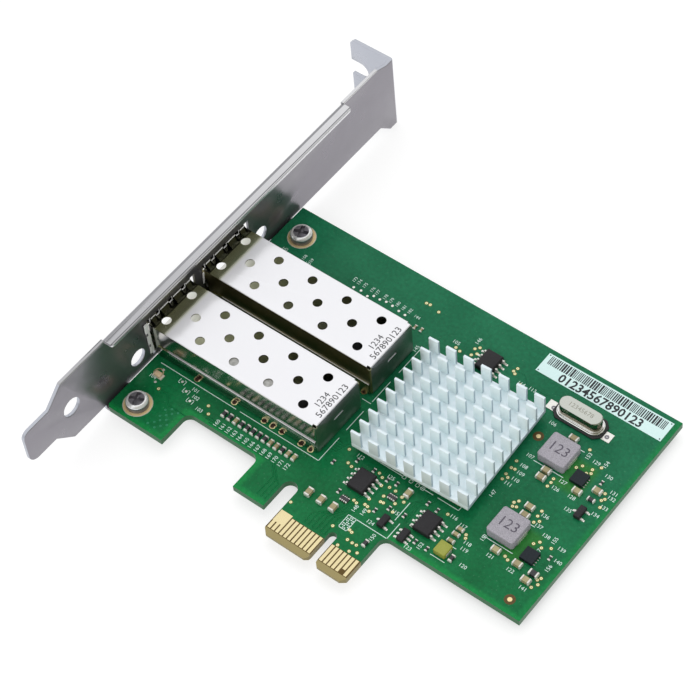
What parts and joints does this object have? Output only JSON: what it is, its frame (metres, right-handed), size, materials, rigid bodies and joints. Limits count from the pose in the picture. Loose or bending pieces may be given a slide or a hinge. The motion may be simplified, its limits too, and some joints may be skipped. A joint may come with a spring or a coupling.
{
  "type": "network interface card",
  "caption": "Low-profile network card with a full-height steel bracket, caged optical module ports, pin-fin heat sink and an edge tongue for a narrow serial expansion slot",
  "frame": {"origin": "centre of the key slot in the edge tongue, on the contact edge, at the component face", "axes": "+Y away from the edge contacts along the bracket, +Z off the component side, +X along the board away from the bracket"},
  "size_m": [0.11, 0.1201, 0.0216],
  "materials": {
    "bracket_steel": "nickel plated, satin",
    "board_green": "green solder mask over glass laminate",
    "gold": "gold plated",
    "screw_steel": "nickel plated, bright",
    "cage_steel": "nickel plated, bright",
    "connector_black": "matte",
    "tin": "tin plated",
    "substrate_amber": "bare laminate",
    "chip_black": "moulded, fine grain",
    "tape_grey": "matte",
    "sink_aluminium": "clear anodised, satin",
    "crystal_steel": "satin",
    "inductor_grey": "pressed powder, matte",
    "tantalum_yellow": "moulded, satin",
    "ceramic_tan": "matte",
    "resistor_dark": "satin",
    "lens_amber": "clear",
    "light_base": "matte",
    "label_white": "printed label stock"
  },
  "bodies": {
    "root": {"bracket": "bracket_steel", "circuit_board": "board_green", "edge_contacts": "gold", "mounting_screws": "screw_steel", "cage_cover_lower": "cage_steel", "cage_cover_upper": "cage_steel", "cage_tray_lower": "cage_steel", "cage_tray_upper": "cage_steel", "spring_fingers_lower": "cage_steel", "spring_fingers_upper": "cage_steel", "module_connector_lower": "connector_black", "module_connector_upper": "connector_black", "connector_tails_lower": "tin", "connector_tails_upper": "tin", "controller_solder": "tin", "controller_substrate": "substrate_amber", "controller_cap": "chip_black", "thermal_tape": "tape_grey", "heat_sink": "sink_aluminium", "crystal_seat": "connector_black", "crystal_can": "crystal_steel", "crystal_leads": "tin", "inductor_lower": "inductor_grey", "inductor_upper": "inductor_grey", "inductor_terminals_lower": "tin", "inductor_terminals_upper": "tin", "memory_chip": "chip_black", "monitor_chip": "chip_black", "driver_chip": "chip_black", "memory_leads": "tin", "monitor_leads": "tin", "driver_leads": "tin", "regulator_lower": "chip_black", "regulator_upper": "chip_black", "regulator_pads": "tin", "transistor_bodies": "chip_black", "transistor_leads": "tin", "tantalum_capacitor": "tantalum_yellow", "tantalum_terminals": "tin", "capacitor_bodies": "ceramic_tan", "capacitor_ends": "tin", "resistor_bodies": "resistor_dark", "resistor_ends": "tin", "port_light_lower": "lens_amber", "port_light_upper": "lens_amber", "port_light_base_lower": "light_base", "port_light_base_upper": "light_base", "paper_label": "label_white"}
  },
  "joints": []
}
